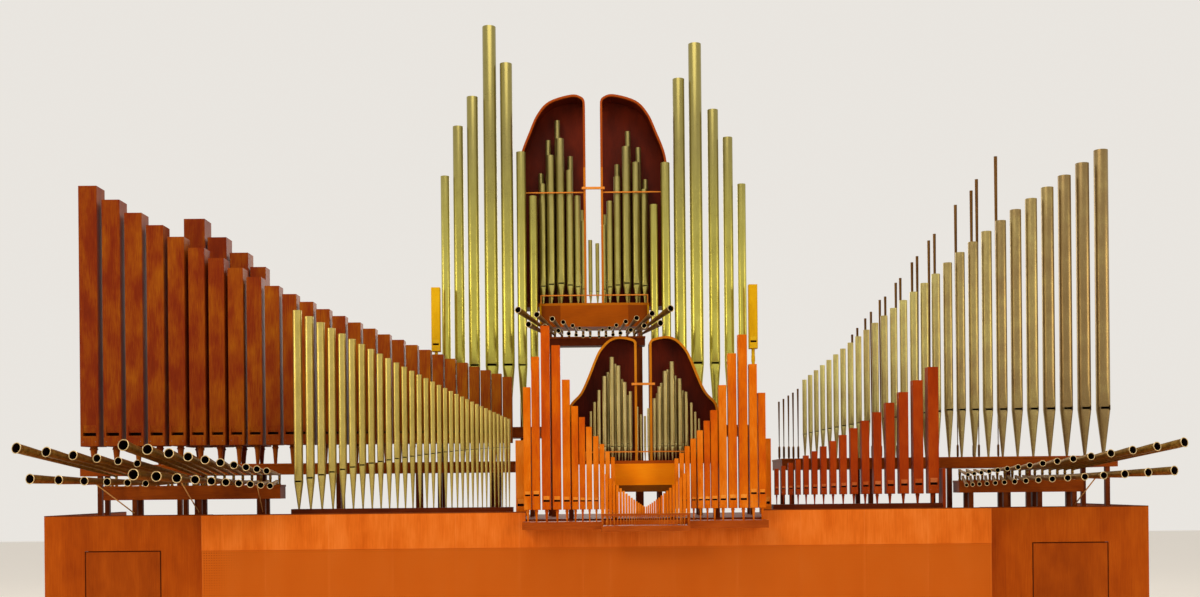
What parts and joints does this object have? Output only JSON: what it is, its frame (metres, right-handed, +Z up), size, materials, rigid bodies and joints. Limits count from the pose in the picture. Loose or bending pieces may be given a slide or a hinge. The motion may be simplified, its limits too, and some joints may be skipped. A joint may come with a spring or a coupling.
{
  "type": "pipe organ",
  "caption": "Concert hall pipe organ: fanned ranks of wood and metal pipes, two arched cases and horizontal trumpets on a hollow timber platform with hinged doors.",
  "frame": {"origin": "middle of the bottom face of the front centre wall, on the floor", "axes": "+X to the right along the front, +Y towards the back, +Z up; the front faces -Y"},
  "size_m": [21.4, 6.3269, 13.09],
  "materials": {
    "orange_timber": "satin lacquered",
    "hinge_steel": "satin",
    "red_brown_wood": "satin lacquered",
    "crimson_wood": "satin lacquered",
    "flame_wood": "satin lacquered",
    "yellow_wood": "satin lacquered",
    "case_dark_wood": "matte",
    "trumpet_brass": "aged",
    "pipe_tin": "burnished tin alloy",
    "chest_wood": "satin lacquered"
  },
  "bodies": {
    "organ": {"front_wall": "orange_timber", "side_fascias": "orange_timber", "side_piers": "orange_timber", "end_walls": "orange_timber", "back_wall": "orange_timber", "deck": "orange_timber", "door_pivots": "hinge_steel", "trestle_posts": "chest_wood", "left_wood_pipes": "red_brown_wood", "left_wood_chests": "chest_wood", "left_metal_pipes": "pipe_tin", "toeboards": "orange_timber", "right_metal_pipes": "pipe_tin", "right_reeds": "pipe_tin", "right_chest": "chest_wood", "right_wood_pipes": "crimson_wood", "right_toeboard_end": "crimson_wood", "tower_pipes": "pipe_tin", "tower_chests": "chest_wood", "yellow_pipes": "yellow_wood", "upper_chest": "chest_wood", "upper_beams": "chest_wood", "upper_wings": "case_dark_wood", "upper_rims": "orange_timber", "upper_pipes": "pipe_tin", "upper_rails": "orange_timber", "centre_trumpets": "trumpet_brass", "centre_trumpet_chest": "chest_wood", "left_trumpets": "trumpet_brass", "right_trumpets": "trumpet_brass", "trumpet_chests": "chest_wood", "positive_shelves": "orange_timber", "positive_wood_pipes": "flame_wood", "positive_outer_pipes": "orange_timber", "positive_front_pipes": "flame_wood", "positive_front_rail": "chest_wood", "positive_chest": "chest_wood", "positive_side_boards": "chest_wood", "positive_metal_pipes": "pipe_tin", "positive_rails": "orange_timber", "positive_wings": "case_dark_wood", "positive_rims": "orange_timber"},
    "left_door": {"left_door_leaf": "orange_timber"},
    "right_door": {"right_door_leaf": "orange_timber"}
  },
  "joints": [
    {"name": "left_door_hinge", "type": "hinge", "parent": "organ", "child": "left_door", "pos_m": [-9.873, 0.2125, 1.08], "axis": [0, 0, -1], "range_deg": [0, 95]},
    {"name": "right_door_hinge", "type": "hinge", "parent": "organ", "child": "right_door", "pos_m": [9.873, 0.2125, 1.08], "axis": [0, 0, 1], "range_deg": [0, 95]}
  ]
}
